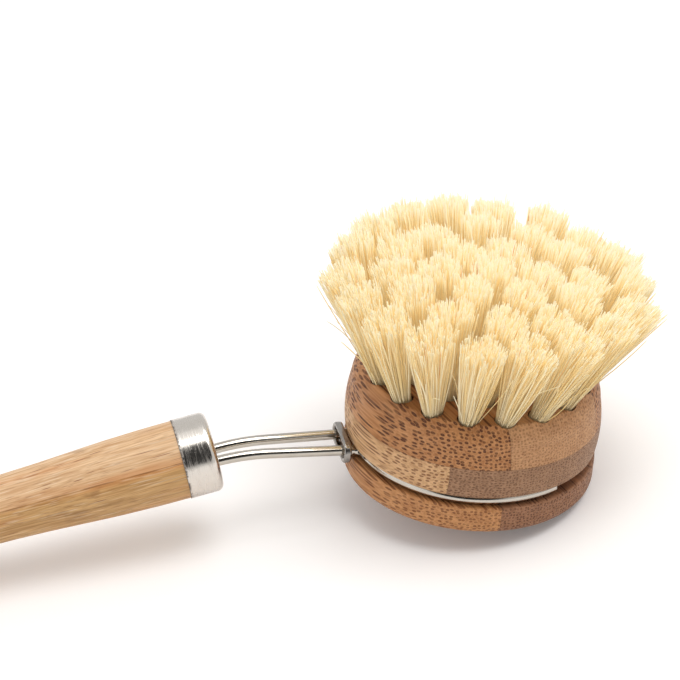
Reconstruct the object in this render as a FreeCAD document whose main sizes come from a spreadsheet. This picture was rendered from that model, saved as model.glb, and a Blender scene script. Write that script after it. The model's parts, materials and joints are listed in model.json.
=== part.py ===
"""Dish brush with a round replaceable head, held in a sprung wire bail on a turned handle.

The head frame has its origin on the head's axis at the underside of the head, with +Z up through the bristles
and the handle towards -X. The handle frame starts at the middle of the ferrule's front face and runs along
the handle. At the end every piece is laid down as the brush rests on a table: on the far rim of the head's
underside and on the belly of the handle.
"""
import FreeCAD, Part
import math
import os

import Sketcher

# Driving dimensions: lengths in millimetres, angles in degrees, and counts
SIZES = {
    # Head block
    "block_height": 22.8,
    "flange_radius": 24.4,
    "flange_height": 5.9,
    "base_edge_round": 2.2,
    "groove_depth": 3.1,
    "groove_edge_round": 0.5,
    "groove_clearance": 0.2,
    "lip_radius": 24.4,
    "side_bulge_round": 24.0,
    "shoulder_radius": 24.05,
    "shoulder_height": 4.4,
    "shoulder_round": 5.2,
    "crown_radius": 21.6,
    "head_turn": -10.5,
    # Plies and strips of the head block
    "base_ply_thickness": 7.2,
    "middle_ply_thickness": 7.5,
    "strip_width": 22.0,
    "base_seam_offset": 7.3,
    "middle_seam_offset": 16.6,
    "top_seam_offset": 6.8,
    "grain_angle": -62.5,
    # Tufts and their anchors
    "tuft_rings": 3,
    "tufts_per_step": 6,
    "tuft_pitch": 6.7,
    "fan_depth": 48.0,
    "hole_radius": 2.1,
    "hole_depth": 10.0,
    "tuft_clearance": 0.1,
    "tuft_collar": 1.4,
    "bristle_length": 21.6,
    "bristle_gap": 0.9,
    "bristle_crown": 0.8,
    "anchor_seat": 1.0,
    "anchor_height": 1.6,
    "anchor_thickness": 0.4,
    "anchor_clearance": 0.05,
    # Wire bail
    "wire_radius": 1.0,
    "leg_gap_bend": 2.4,
    "leg_gap_clip": 2.9,
    "entry_bend_radius": 2.0,
    "wrap_angle": 119.5,
    "bail_bend_radius": 40.0,
    "bail_bend_angle": 14.4,
    "root_depth": 2.0,
    "root_gap": 0.2,
    "tang_length": 20.0,
    # Locking clip
    "clip_length": 1.5,
    "clip_strip": 0.9,
    "clip_gap": 0.35,
    "clip_side_clearance": 0.6,
    "clip_height_clearance": 0.4,
    "clip_edge_round": 0.4,
    "clip_travel": 14.0,
    # Ferrule
    "ferrule_radius": 7.7,
    "ferrule_wall": 0.5,
    "ferrule_length": 6.6,
    "ferrule_nose_round": 1.3,
    "ferrule_mouth_radius": 3.6,
    "ferrule_step": 0.15,
    "ferrule_fit": 0.05,
    # Handle
    "handle_length": 160.0,
    "waist_distance": 50.4,
    "waist_radius": 6.18,
    "waist_round": 375.0,
    "belly_distance": 115.0,
    "belly_radius": 8.8,
    "glue_turn": 30.0,
    "tang_drop": 1.2,
    "bore_clearance": 0.25,
    "hanging_hole_radius": 2.5,
    "hanging_hole_from_butt": 13.0,
    # How far a cutting shape reaches past what it cuts
    "overrun": 5.0,
}

RING_NAMES = ("centre", "inner", "middle", "outer")
STRIP_NAMES = ("near", "middle", "far")

# Numbers that the sketcher gives to its origin, its axes and the points of an edge
ORIGIN = ACROSS_AXIS = -1
UP_AXIS = ACROSS_AXIS - 1
START, END, MIDDLE = range(1, 4)

UPWARDS = FreeCAD.Vector(0, 0, 1)
SIDEWAYS = FreeCAD.Vector(0, 1, 0)
FULL_TURN = 360
HALF_TURN = 180
QUARTER_TURN = 90


class Size:
    """A value together with the sheet formula that it comes from."""

    def __init__(self, value, formula):
        self.value = float(value)
        self.formula = formula

    @staticmethod
    def of(other):
        return other if isinstance(other, Size) else Size(other, repr(other))

    def __add__(self, other):
        other = Size.of(other)
        return Size(self.value + other.value, f"({self.formula} + {other.formula})")

    def __sub__(self, other):
        other = Size.of(other)
        return Size(self.value - other.value, f"({self.formula} - {other.formula})")

    def __mul__(self, other):
        other = Size.of(other)
        return Size(self.value * other.value, f"({self.formula} * {other.formula})")

    def __truediv__(self, other):
        other = Size.of(other)
        return Size(self.value / other.value, f"({self.formula} / {other.formula})")

    def __neg__(self):
        return Size(-self.value, f"(0 - {self.formula})")

    __radd__ = __add__
    __rmul__ = __mul__

    def root(self):
        return Size(math.sqrt(self.value), f"sqrt({self.formula})")


class Sizes:
    """The named sizes of the sheet, read as attributes."""

    def __init__(self, names):
        for name, value in names.items():
            setattr(self, name, Size(value, f"Sizes.{name}"))


ZERO = Size(0, "0")
S = Sizes(SIZES)

# Sizes that follow from the driving ones
GROOVE_TOP = S.flange_height + (S.wire_radius + S.groove_clearance) * 2
GROOVE_CENTRE = S.flange_height + S.wire_radius + S.groove_clearance
CORE_RADIUS = S.flange_radius - S.groove_depth
WRAP_RADIUS = CORE_RADIUS + S.groove_clearance + S.wire_radius
CLIP_FACE = S.lip_radius + S.clip_gap
CLIP_REAR = CLIP_FACE + S.clip_length
CLIP_MIDDLE = CLIP_FACE + S.clip_length / 2
BEND_START = CLIP_REAR + S.clip_travel
SPIGOT_RADIUS = S.ferrule_radius - S.ferrule_wall - S.ferrule_fit
FRONT_RADIUS = S.ferrule_radius - S.ferrule_step
TUFT_RADIUS = S.hole_radius - S.tuft_clearance


def make_sheet(doc):
    """Fills the sheet with the driving dimensions."""
    sheet = doc.addObject("Spreadsheet::Sheet", "Sizes")
    for row, (name, value) in enumerate(SIZES.items(), start=1):
        sheet.set(f"A{row}", name)
        sheet.set(f"B{row}", str(value))
        sheet.setAlias(f"B{row}", name)
    doc.recompute()
    return sheet


def bind(thing, **sizes):
    """Binds properties of an object to formulas of the sheet."""
    for name, size in sizes.items():
        thing.setExpression(name, size.formula)


def new_body(doc, label):
    body = doc.addObject("PartDesign::Body", label)
    body.Label = label
    return body


def origin_part(body, role):
    return next(part for part in body.Origin.OriginFeatures if part.Role == role)


def new_sketch(body, plane):
    sketch = body.newObject("Sketcher::SketchObject", f"{body.Name}_outline")
    sketch.AttachmentSupport = [(origin_part(body, plane), "")]
    sketch.MapMode = "FlatFace"
    return sketch


def pin(sketch, edge, point, across, up):
    """Holds a point of a sketch at two named distances from the sketch's origin."""
    ways = (("DistanceX", across, UP_AXIS), ("DistanceY", up, ACROSS_AXIS))
    for kind, distance, axis in ways:
        if distance.value == 0:
            sketch.addConstraint(Sketcher.Constraint("PointOnObject", edge, point, axis))
            continue
        ends = (ORIGIN, START, edge, point)
        if distance.value < 0:
            distance = -distance
            ends = (edge, point, ORIGIN, START)
        number = sketch.addConstraint(Sketcher.Constraint(kind, *ends, distance.value))
        sketch.setExpression(f"Constraints[{number}]", distance.formula)


def flat_point(corner):
    return FreeCAD.Vector(corner[0].value, corner[1].value, 0)


def arc_edge(start, end, radius, hollow):
    """Gives the short arc between two points, bulging out of a counterclockwise outline or into it."""
    if hollow:
        start, end = end, start
    chord = end - start
    inwards = FreeCAD.Vector(-chord.y, chord.x, 0).normalize()
    centre = (start + end) / 2 + inwards * math.sqrt(max(radius**2 - (chord.Length / 2) ** 2, 0))
    first = math.atan2(start.y - centre.y, start.x - centre.x)
    last = math.atan2(end.y - centre.y, end.x - centre.x)
    if last < first:
        last += 2 * math.pi
    return Part.ArcOfCircle(Part.Circle(centre, UPWARDS, radius), first, last)


def draw_outline(sketch, corners, rounds=None, hollows=()):
    """Draws a closed counterclockwise outline.

    Each corner is a pair of named distances. `rounds` gives the radius of the edge that leaves a corner,
    where that edge is an arc, and `hollows` names the arcs that curve into the outline.
    """
    rounds = rounds or {}
    first = sketch.GeometryCount
    count = len(corners)
    for number, corner in enumerate(corners):
        start, end = flat_point(corner), flat_point(corners[(number + 1) % count])
        if number in rounds:
            edge = sketch.addGeometry(arc_edge(start, end, rounds[number].value, number in hollows), False)
            constraint = sketch.addConstraint(Sketcher.Constraint("Radius", edge, rounds[number].value))
            sketch.setExpression(f"Constraints[{constraint}]", rounds[number].formula)
        else:
            sketch.addGeometry(Part.LineSegment(start, end), False)
    for number, corner in enumerate(corners):
        before = (number - 1) % count
        leaving = END if number in hollows else START
        arriving = START if before in hollows else END
        join = Sketcher.Constraint("Coincident", first + before, arriving, first + number, leaving)
        sketch.addConstraint(join)
        pin(sketch, first + number, leaving, *corner)


def draw_circle(sketch, centre, radius):
    edge = sketch.addGeometry(Part.Circle(flat_point(centre), UPWARDS, radius.value), False)
    number = sketch.addConstraint(Sketcher.Constraint("Radius", edge, radius.value))
    sketch.setExpression(f"Constraints[{number}]", radius.formula)
    pin(sketch, edge, MIDDLE, *centre)


def turn_outline(body, sketch, kind="PartDesign::Revolution", axis="V_Axis"):
    """Turns an outline about an axis of its sketch, as a solid or as a cut."""
    feature = body.newObject(kind, f"{body.Name}_turned")
    feature.Profile = sketch
    feature.ReferenceAxis = (sketch, [axis])
    feature.Angle = FULL_TURN
    return feature


def cut_checked(doc, body, feature):
    """Recomputes the body and makes sure that a cut has taken something away."""
    before = body.Shape.Volume
    body.Tip = feature
    doc.recompute()
    if not body.Shape.Volume < before:
        raise RuntimeError(f"{feature.Label} cuts nothing")


def box(doc, name, length, width, height, placement):
    solid = doc.addObject("Part::Box", name)
    bind(solid, Length=length, Width=width, Height=height)
    solid.Placement = placement
    return solid


def common(doc, label, base, tool):
    piece = doc.addObject("Part::Common", label)
    piece.Label = label
    piece.Base = base
    piece.Tool = tool
    return piece


def turned(axis, degrees):
    return FreeCAD.Rotation(axis, degrees)


def at(x, y, z, rotation=None):
    return FreeCAD.Placement(FreeCAD.Vector(x, y, z), rotation or FreeCAD.Rotation())


# Head block

def ring_radius(ring):
    return S.tuft_pitch * ring


def fan_length(ring):
    """Distance from the point that the tufts fan out from to a tuft's hole in the top face."""
    return (ring_radius(ring) * ring_radius(ring) + S.fan_depth * S.fan_depth).root()


def tufts_in_ring(ring):
    return S.tufts_per_step * ring if ring else Size(1, "1")


def turn_block(doc, body):
    """Turns the block's outline: flange, groove, bulging side, rounded shoulder and flat top."""
    sketch = new_sketch(body, "XZ_Plane")
    corners = [
        (ZERO, ZERO),
        (S.flange_radius - S.base_edge_round, ZERO),
        (S.flange_radius, S.base_edge_round),
        (S.flange_radius, S.flange_height - S.groove_edge_round),
        (S.flange_radius - S.groove_edge_round, S.flange_height),
        (CORE_RADIUS, S.flange_height),
        (CORE_RADIUS, GROOVE_TOP),
        (S.lip_radius - S.groove_edge_round, GROOVE_TOP),
        (S.lip_radius, GROOVE_TOP + S.groove_edge_round),
        (S.shoulder_radius, S.block_height - S.shoulder_height),
        (S.crown_radius, S.block_height),
        (ZERO, S.block_height),
    ]
    rounds = {
        1: S.base_edge_round,
        3: S.groove_edge_round,
        7: S.groove_edge_round,
        8: S.side_bulge_round,
        9: S.shoulder_round,
    }
    draw_outline(sketch, corners, rounds)
    body.Tip = turn_outline(body, sketch)
    doc.recompute()


def drill_ring(doc, body, ring):
    """Drills the blind tuft holes of one ring, each leaning out along its tuft."""
    lean_across = ring_radius(ring) / fan_length(ring)
    lean_up = S.fan_depth / fan_length(ring)

    def along(distance, aside):
        across = ring_radius(ring) + lean_across * distance + lean_up * aside
        up = S.block_height + lean_up * distance - lean_across * aside
        return across, up

    bottom, top = -S.hole_depth, S.overrun
    sketch = new_sketch(body, "XZ_Plane")
    corners = [
        along(bottom, ZERO),
        along(bottom, S.hole_radius),
        along(top, S.hole_radius),
        along(top, ZERO),
    ]
    draw_outline(sketch, corners)
    axis = sketch.addGeometry(Part.LineSegment(flat_point(corners[0]), flat_point(corners[-1])), True)
    sketch.addConstraint(Sketcher.Constraint("Coincident", axis, START, 0, START))
    last_edge = len(corners) - 1
    sketch.addConstraint(Sketcher.Constraint("Coincident", axis, END, last_edge, START))
    hole = turn_outline(body, sketch, "PartDesign::Groove", "Axis0")
    cut_checked(doc, body, hole)
    if ring:
        pattern = body.newObject("PartDesign::PolarPattern", f"{RING_NAMES[ring]}_holes")
        pattern.Originals = [hole]
        pattern.Axis = (origin_part(body, "Z_Axis"), [""])
        pattern.Angle = FULL_TURN
        bind(pattern, Occurrences=tufts_in_ring(ring))
        cut_checked(doc, body, pattern)


def make_head_blank(doc):
    body = new_body(doc, "head_blank")
    turn_block(doc, body)
    for ring in range(SIZES["tuft_rings"] + 1):
        drill_ring(doc, body, ring)
    return body


def make_strips(doc, blank):
    """Cuts the block into its plies and each ply into the strips that it is glued up from."""
    reach = S.lip_radius + S.overrun
    base_top = S.base_ply_thickness
    middle_top = base_top + S.middle_ply_thickness
    plies = {
        "base_ply": (ZERO, base_top, S.base_seam_offset),
        "middle_ply": (base_top, middle_top, S.middle_seam_offset),
        "top_ply": (middle_top, S.block_height, S.top_seam_offset),
    }
    grain = turned(UPWARDS, S.grain_angle.value)
    strips = []
    for ply, (bottom, top, offset) in plies.items():
        seams = (-reach, -offset, S.strip_width - offset, reach)
        for number, name in enumerate(STRIP_NAMES):
            label = f"{ply}_{name}_strip"
            start, end = seams[number], seams[number + 1]
            corner = grain.multVec(FreeCAD.Vector(-reach.value, start.value, bottom.value))
            place = FreeCAD.Placement(corner, grain)
            block = box(doc, f"{label}_space", reach * 2, end - start, top - bottom, place)
            strips.append(common(doc, label, blank, block))
    return strips


# Tufts and anchors

def tuft_placement(ring, number):
    """Places a tuft in its hole: its own origin at the hole's bottom and its own Z along the hole."""
    lean = math.degrees(math.atan2(ring_radius(ring).value, S.fan_depth.value))
    spin = turned(UPWARDS, FULL_TURN * number / tufts_in_ring(ring).value)
    rotation = spin.multiply(turned(SIDEWAYS, lean))
    mouth = spin.multVec(FreeCAD.Vector(ring_radius(ring).value, 0, S.block_height.value))
    bottom = mouth - rotation.multVec(FreeCAD.Vector(0, 0, S.hole_depth.value))
    return FreeCAD.Placement(bottom, rotation)


def make_tuft(doc, label):
    """Turns a tuft, straight in its hole and flaring to its tips, with a slot for its anchor."""
    body = new_body(doc, label)
    tip_spread = (S.fan_depth + S.bristle_length) / S.fan_depth
    tip_radius = (S.tuft_pitch * tip_spread - S.bristle_gap) / 2
    top = S.hole_depth + S.bristle_length
    crown_round = (tip_radius * tip_radius + S.bristle_crown * S.bristle_crown) / (S.bristle_crown * 2)
    sketch = new_sketch(body, "XZ_Plane")
    corners = [
        (ZERO, S.tuft_clearance),
        (TUFT_RADIUS, S.tuft_clearance),
        (TUFT_RADIUS, S.hole_depth + S.tuft_collar),
        (tip_radius, top - S.bristle_crown),
        (ZERO, top),
    ]
    draw_outline(sketch, corners, {3: crown_round})
    body.Tip = turn_outline(body, sketch)
    doc.recompute()

    slot_sketch = new_sketch(body, "XZ_Plane")
    half_slot = S.anchor_thickness / 2 + S.anchor_clearance
    slot_bottom = S.anchor_seat - S.anchor_clearance
    slot_top = S.anchor_seat + S.anchor_height + S.anchor_clearance
    slot_corners = [
        (-half_slot, slot_bottom),
        (half_slot, slot_bottom),
        (half_slot, slot_top),
        (-half_slot, slot_top),
    ]
    draw_outline(slot_sketch, slot_corners)
    slot = body.newObject("PartDesign::Pocket", f"{label}_slot")
    slot.Profile = slot_sketch
    slot.SideType = "Symmetric"
    bind(slot, Length=S.hole_radius * 2 + S.overrun)
    cut_checked(doc, body, slot)
    return body


def make_tufts(doc):
    """Makes every tuft and, as one group, the anchors that hold them."""
    tufts, anchors = [], []
    anchor_length = TUFT_RADIUS * 2
    for ring in range(SIZES["tuft_rings"] + 1):
        for number in range(int(tufts_in_ring(ring).value)):
            label = f"{RING_NAMES[ring]}_tuft_{number + 1:02d}" if ring else f"{RING_NAMES[ring]}_tuft"
            place = tuft_placement(ring, number)
            tuft = make_tuft(doc, label)
            tuft.Placement = place
            tufts.append(tuft)
            corner = at(-S.anchor_thickness.value / 2, -anchor_length.value / 2, S.anchor_seat.value)
            sizes = (S.anchor_thickness, anchor_length, S.anchor_height)
            anchors.append(box(doc, f"{label}_anchor", *sizes, place.multiply(corner)))
    group = doc.addObject("Part::Compound", "tuft_anchors")
    group.Label = "tuft_anchors"
    group.Links = anchors
    return tufts, group


# Wire bail

def leg_slope():
    """Angle in plan between the left leg and the middle plane."""
    run = BEND_START.value - CLIP_MIDDLE.value
    return math.atan2(S.leg_gap_clip.value - S.leg_gap_bend.value, run)


def bail_points():
    """Gives the points of the left leg's path, from its root in the handle to its cut end."""
    level = GROOVE_CENTRE.value
    slope, bend = leg_slope(), math.radians(S.bail_bend_angle.value)
    onwards = FreeCAD.Vector(math.cos(slope), math.sin(slope), 0)
    outwards = FreeCAD.Vector(-math.sin(slope), math.cos(slope), 0)
    bend_radius = S.bail_bend_radius.value

    def on_bend(angle):
        back = onwards * (-bend_radius * math.sin(angle))
        return bend_start + back - UPWARDS * (bend_radius * (1 - math.cos(angle)))

    bend_start = FreeCAD.Vector(-BEND_START.value, S.leg_gap_bend.value, level)
    face = on_bend(bend)
    into_handle = -onwards * math.cos(bend) - UPWARDS * math.sin(bend)
    root = face + into_handle * S.root_depth.value

    # The entry bend touches the straight leg on its outer side and the groove's circle from outside
    entry, wrap = S.entry_bend_radius.value, WRAP_RADIUS.value
    axis_point = FreeCAD.Vector(0, 0, level)
    offset = bend_start + outwards * entry - axis_point
    along = offset.dot(onwards)
    run = -along - math.sqrt(along**2 - offset.Length**2 + (wrap + entry) ** 2)
    centre = offset + onwards * run
    leave = centre - outwards * entry
    touch = centre * (wrap / (wrap + entry))
    middle = centre + ((leave - centre) + (touch - centre)).normalize() * entry

    touch_angle = math.atan2(touch.y, touch.x)
    end_angle = math.radians(HALF_TURN - S.wrap_angle.value)
    mean_angle = (touch_angle + end_angle) / 2

    def on_wrap(angle):
        return axis_point + FreeCAD.Vector(math.cos(angle), math.sin(angle), 0) * wrap

    return {
        "root": root,
        "face": face,
        "bend_middle": on_bend(bend / 2),
        "bend_start": bend_start,
        "entry_start": axis_point + leave,
        "entry_middle": axis_point + middle,
        "entry_end": axis_point + touch,
        "wrap_middle": on_wrap(mean_angle),
        "wrap_end": on_wrap(end_angle),
        "into_handle": into_handle,
    }


def sweep_wire(doc, label, edges, start, direction):
    """Sweeps the round wire along a path of straight runs and tangent arcs."""
    path = doc.addObject("Part::Feature", f"{label}_path")
    path.Shape = Part.Wire([edge.toShape() for edge in edges])
    section = doc.addObject("Part::Circle", f"{label}_section")
    bind(section, Radius=S.wire_radius)
    section.Placement = FreeCAD.Placement(start, FreeCAD.Rotation(UPWARDS, direction))
    wire = doc.addObject("Part::Sweep", f"{label}_wire")
    wire.Sections = [section]
    wire.Spine = (path, [f"Edge{number + 1}" for number in range(len(edges))])
    wire.Solid = True
    wire.Frenet = False
    return wire


def make_legs(doc, points):
    """Makes the left leg of the bail, rounded at its root, and the right one as its mirror image."""
    edges = [
        Part.LineSegment(points["root"], points["face"]),
        Part.Arc(points["face"], points["bend_middle"], points["bend_start"]),
        Part.LineSegment(points["bend_start"], points["entry_start"]),
        Part.Arc(points["entry_start"], points["entry_middle"], points["entry_end"]),
        Part.Arc(points["entry_end"], points["wrap_middle"], points["wrap_end"]),
    ]
    wire = sweep_wire(doc, "left_leg", edges, points["root"], -points["into_handle"])
    ball = doc.addObject("Part::Sphere", "left_leg_root")
    bind(ball, Radius=S.wire_radius)
    ball.Placement = FreeCAD.Placement(points["root"], FreeCAD.Rotation(UPWARDS, points["into_handle"]))
    left = doc.addObject("Part::Fuse", "left_bail_leg")
    left.Label = "left_bail_leg"
    left.Base = wire
    left.Tool = ball
    right = doc.addObject("Part::Mirroring", "right_bail_leg")
    right.Label = "right_bail_leg"
    right.Source = left
    right.Normal = SIDEWAYS
    return left, right


def make_tang(doc, half_gap):
    """Makes the hairpin that joins the two legs inside the handle, in the handle frame."""
    start = S.root_depth.value + S.wire_radius.value + S.root_gap.value
    turn = start + S.tang_length.value
    down = -S.tang_drop.value
    left_start = FreeCAD.Vector(down, half_gap, start)
    left_turn = FreeCAD.Vector(down, half_gap, turn)
    bottom = FreeCAD.Vector(down, 0, turn + half_gap)
    right_turn = FreeCAD.Vector(down, -half_gap, turn)
    right_start = FreeCAD.Vector(down, -half_gap, start)
    edges = [
        Part.LineSegment(left_start, left_turn),
        Part.Arc(left_turn, bottom, right_turn),
        Part.LineSegment(right_turn, right_start),
    ]
    tang = sweep_wire(doc, "tang", edges, left_start, UPWARDS)
    tang.Label = "bail_tang"
    return tang


def make_clip(doc):
    """Bends the clip's strip into an oval band round both legs, with its edges rounded."""
    body = new_body(doc, "locking_clip")
    sketch = new_sketch(body, "YZ_Plane")
    inner_up = S.wire_radius + S.clip_height_clearance
    inner_across = S.leg_gap_clip + S.wire_radius + S.clip_side_clearance
    for up, across in (
        (inner_up + S.clip_strip, inner_across + S.clip_strip),
        (inner_up, inner_across),
    ):
        flat = across - up
        corners = [
            (-flat, -up),
            (flat, -up),
            (across, ZERO),
            (flat, up),
            (-flat, up),
            (-across, ZERO),
        ]
        draw_outline(sketch, corners, {1: up, 2: up, 4: up, 5: up})
    band = body.newObject("PartDesign::Pad", "clip_band")
    band.Profile = sketch
    bind(band, Length=S.clip_length)
    body.Tip = band
    doc.recompute()
    rims = [
        f"Edge{number}"
        for number, edge in enumerate(band.Shape.Edges, start=1)
        if math.isclose(edge.BoundBox.XMin, edge.BoundBox.XMax, abs_tol=S.clip_edge_round.value)
    ]
    rounding = body.newObject("PartDesign::Fillet", "clip_rims")
    rounding.Base = (band, rims)
    bind(rounding, Radius=S.clip_edge_round)
    body.Tip = rounding
    body.Placement = at(-CLIP_REAR.value, 0, GROOVE_CENTRE.value)
    return body


# Ferrule and handle

def make_ferrule(doc):
    """Draws the ferrule as a thin cup with a rounded nose and an open mouth for the wires."""
    body = new_body(doc, "ferrule")
    sketch = new_sketch(body, "XZ_Plane")
    inner = S.ferrule_radius - S.ferrule_wall
    inner_round = S.ferrule_nose_round - S.ferrule_wall
    corners = [
        (S.ferrule_mouth_radius, ZERO),
        (S.ferrule_radius - S.ferrule_nose_round, ZERO),
        (S.ferrule_radius, S.ferrule_nose_round),
        (S.ferrule_radius, S.ferrule_length),
        (inner, S.ferrule_length),
        (inner, S.ferrule_nose_round),
        (inner - inner_round, S.ferrule_wall),
        (S.ferrule_mouth_radius, S.ferrule_wall),
    ]
    draw_outline(sketch, corners, {1: S.ferrule_nose_round, 5: inner_round}, hollows=(5,))
    body.Tip = turn_outline(body, sketch)
    return body


def between(start, end, share):
    return tuple(first + (last - first) * share for first, last in zip(start, end))


def handle_arcs():
    """Works out the tangent arcs of the handle: shoulder, waist, belly and butt."""
    fall = FRONT_RADIUS - S.waist_radius
    neck = S.waist_distance - S.ferrule_length
    rise = S.belly_radius - S.waist_radius
    grip = S.belly_distance - S.waist_distance
    shoulder_and_waist = (neck * neck + fall * fall) / (fall * 2)
    waist_and_belly = (grip * grip + rise * rise) / (rise * 2)
    shoulder = shoulder_and_waist - S.waist_round
    belly = waist_and_belly - S.waist_round
    tail = S.handle_length - S.belly_distance
    sunk = belly - S.belly_radius
    butt = (belly * belly - sunk * sunk - tail * tail) / ((belly - tail) * 2)
    shoulder_centre = (FRONT_RADIUS - shoulder, S.ferrule_length)
    waist_centre = (S.waist_radius + S.waist_round, S.waist_distance)
    belly_centre = (-sunk, S.belly_distance)
    butt_centre = (ZERO, S.handle_length - butt)
    return {
        "shoulder": shoulder,
        "belly": belly,
        "butt": butt,
        "sunk": sunk,
        "neck_point": between(shoulder_centre, waist_centre, shoulder / shoulder_and_waist),
        "grip_point": between(waist_centre, belly_centre, S.waist_round / waist_and_belly),
        "tail_point": between(belly_centre, butt_centre, belly / (belly - butt)),
    }


def make_handle_blank(doc, arcs, half_gap):
    """Turns the handle, bores it for the tang and drills its hanging hole square to the glue line."""
    body = new_body(doc, "handle_blank")
    spigot_end = S.ferrule_wall + S.ferrule_fit
    spigot_round = S.ferrule_nose_round - S.ferrule_wall
    sketch = new_sketch(body, "XZ_Plane")
    corners = [
        (ZERO, spigot_end),
        (SPIGOT_RADIUS - spigot_round, spigot_end),
        (SPIGOT_RADIUS, spigot_end + spigot_round),
        (SPIGOT_RADIUS, S.ferrule_length),
        (FRONT_RADIUS, S.ferrule_length),
        arcs["neck_point"],
        arcs["grip_point"],
        arcs["tail_point"],
        (ZERO, S.handle_length),
    ]
    rounds = {1: spigot_round, 4: arcs["shoulder"], 5: S.waist_round, 6: arcs["belly"], 7: arcs["butt"]}
    draw_outline(sketch, corners, rounds, hollows=(5,))
    body.Tip = turn_outline(body, sketch)
    doc.recompute()

    # The blank is turned so that its own YZ plane is the glue line, and the bore lies below the axis
    glue = math.radians(S.glue_turn.value)
    bore_centre = (S.tang_drop * -math.cos(glue), S.tang_drop * math.sin(glue))
    reach = S.wire_radius + S.bore_clearance + half_gap
    bore_sketch = new_sketch(body, "XY_Plane")
    draw_circle(bore_sketch, bore_centre, reach)
    bore = body.newObject("PartDesign::Pocket", "tang_bore")
    bore.Profile = bore_sketch
    bore.Reversed = True
    bind(bore, Length=S.root_depth + S.root_gap + S.tang_length + S.wire_radius + reach)
    cut_checked(doc, body, bore)

    hole_sketch = new_sketch(body, "YZ_Plane")
    draw_circle(hole_sketch, (ZERO, S.handle_length - S.hanging_hole_from_butt), S.hanging_hole_radius)
    hole = body.newObject("PartDesign::Pocket", "hanging_hole")
    hole.Profile = hole_sketch
    hole.SideType = "Symmetric"
    bind(hole, Length=(S.belly_radius + S.overrun) * 2)
    cut_checked(doc, body, hole)
    return body


def make_handle_plies(doc, blank):
    """Splits the handle along its glue line."""
    reach = S.belly_radius + S.overrun
    length = S.handle_length + S.overrun
    plies = []
    for label, start in (("handle_upper_ply", 0), ("handle_lower_ply", -reach.value)):
        half = box(doc, f"{label}_space", reach, reach * 2, length, at(start, -reach.value, 0))
        plies.append(common(doc, label, blank, half))
    return plies


# Putting the brush together

def rest_placement(arcs, handle_place):
    """Lays the brush on a table that touches the head's far rim and the belly of the handle."""
    rim = FreeCAD.Vector((S.flange_radius - S.base_edge_round).value, 0, S.base_edge_round.value)
    belly = handle_place.multVec(FreeCAD.Vector(arcs["sunk"].value, 0, S.belly_distance.value))
    across, up = rim.x - belly.x, rim.z - belly.z
    distance = math.hypot(across, up)
    lean = math.asin((S.base_edge_round.value - arcs["belly"].value) / distance) - math.atan2(up, across)
    rotation = turned(SIDEWAYS, -math.degrees(lean))
    lowest = rotation.multVec(rim).z - S.base_edge_round.value
    return FreeCAD.Placement(FreeCAD.Vector(0, 0, -lowest), rotation)


def check(doc, pieces):
    for thing in doc.Objects:
        if "Invalid" in thing.State or "Error" in thing.State:
            raise RuntimeError(f"{thing.Label} failed: {thing.State}")
    for piece in pieces:
        if piece.Shape.isNull() or not piece.Shape.isValid() or not piece.Shape.Solids:
            raise RuntimeError(f"{piece.Label} has no valid solid")


def main():
    doc = FreeCAD.newDocument("dish_brush")
    make_sheet(doc)

    points = bail_points()
    bend = S.bail_bend_angle.value
    along_handle = turned(SIDEWAYS, -(QUARTER_TURN + bend))
    entry = FreeCAD.Vector(points["face"].x, 0, points["face"].z)
    handle_place = FreeCAD.Placement(entry, along_handle)
    handle_place = handle_place.multiply(at(S.tang_drop.value, 0, 0))
    glued_place = handle_place.multiply(at(0, 0, 0, turned(UPWARDS, S.glue_turn.value)))
    head_place = at(0, 0, 0, turned(UPWARDS, S.head_turn.value))
    half_gap = points["root"].y

    arcs = handle_arcs()
    strips = make_strips(doc, make_head_blank(doc))
    tufts, anchors = make_tufts(doc)
    left_leg, right_leg = make_legs(doc, points)
    plies = make_handle_plies(doc, make_handle_blank(doc, arcs, half_gap))
    placed = [(piece, head_place) for piece in (*strips, *tufts, anchors)]
    placed += [(piece, at(0, 0, 0)) for piece in (left_leg, make_clip(doc))]
    placed += [(piece, handle_place) for piece in (make_ferrule(doc), make_tang(doc, half_gap))]
    placed += [(piece, glued_place) for piece in plies]
    doc.recompute()

    rest = rest_placement(arcs, handle_place)
    local = {piece.Label: piece.Placement for piece, _ in placed}
    for piece, place in placed:
        piece.Placement = rest.multiply(place).multiply(local[piece.Label])
    doc.recompute()

    # The right leg mirrors the left one where that lies, so it needs no placing of its own
    pieces = [right_leg] + [piece for piece, _ in placed]
    check(doc, pieces)
    boxes = [piece.Shape.optimalBoundingBox(False, False) for piece in pieces]
    middle = (min(box.XMin for box in boxes) + max(box.XMax for box in boxes)) / 2
    for piece, _ in placed:
        piece.Placement = at(-middle, 0, 0).multiply(piece.Placement)
    doc.recompute()
    check(doc, pieces)

    os.makedirs("parts", exist_ok=True)
    for piece in pieces:
        piece.Shape.exportStep(f"parts/{piece.Label}.step")

    frame = at(-middle, 0, 0).multiply(rest)
    print("rest tilt", rest.Rotation.toEuler(), "shift", frame.Base)
    for side in (1, -1):
        root = FreeCAD.Vector(points["root"].x, side * points["root"].y, points["root"].z)
        print("leg root", frame.multVec(root))
    print("head axis", frame.Rotation.multVec(UPWARDS), "head base", frame.multVec(FreeCAD.Vector()))
    print("leg direction", frame.Rotation.multVec(FreeCAD.Vector(-1, 0, 0)))
    hole_distance = S.handle_length.value - S.hanging_hole_from_butt.value
    hole = frame.multiply(glued_place).multVec(FreeCAD.Vector(0, 0, hole_distance))
    hole_axis = frame.multiply(glued_place).Rotation.multVec(FreeCAD.Vector(1, 0, 0))
    print("hanging hole", hole, "axis", hole_axis)
    print("pieces", len(pieces), "box", min(box.ZMin for box in boxes), max(box.ZMax for box in boxes))


if __name__ == "__main__":
    main()
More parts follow.
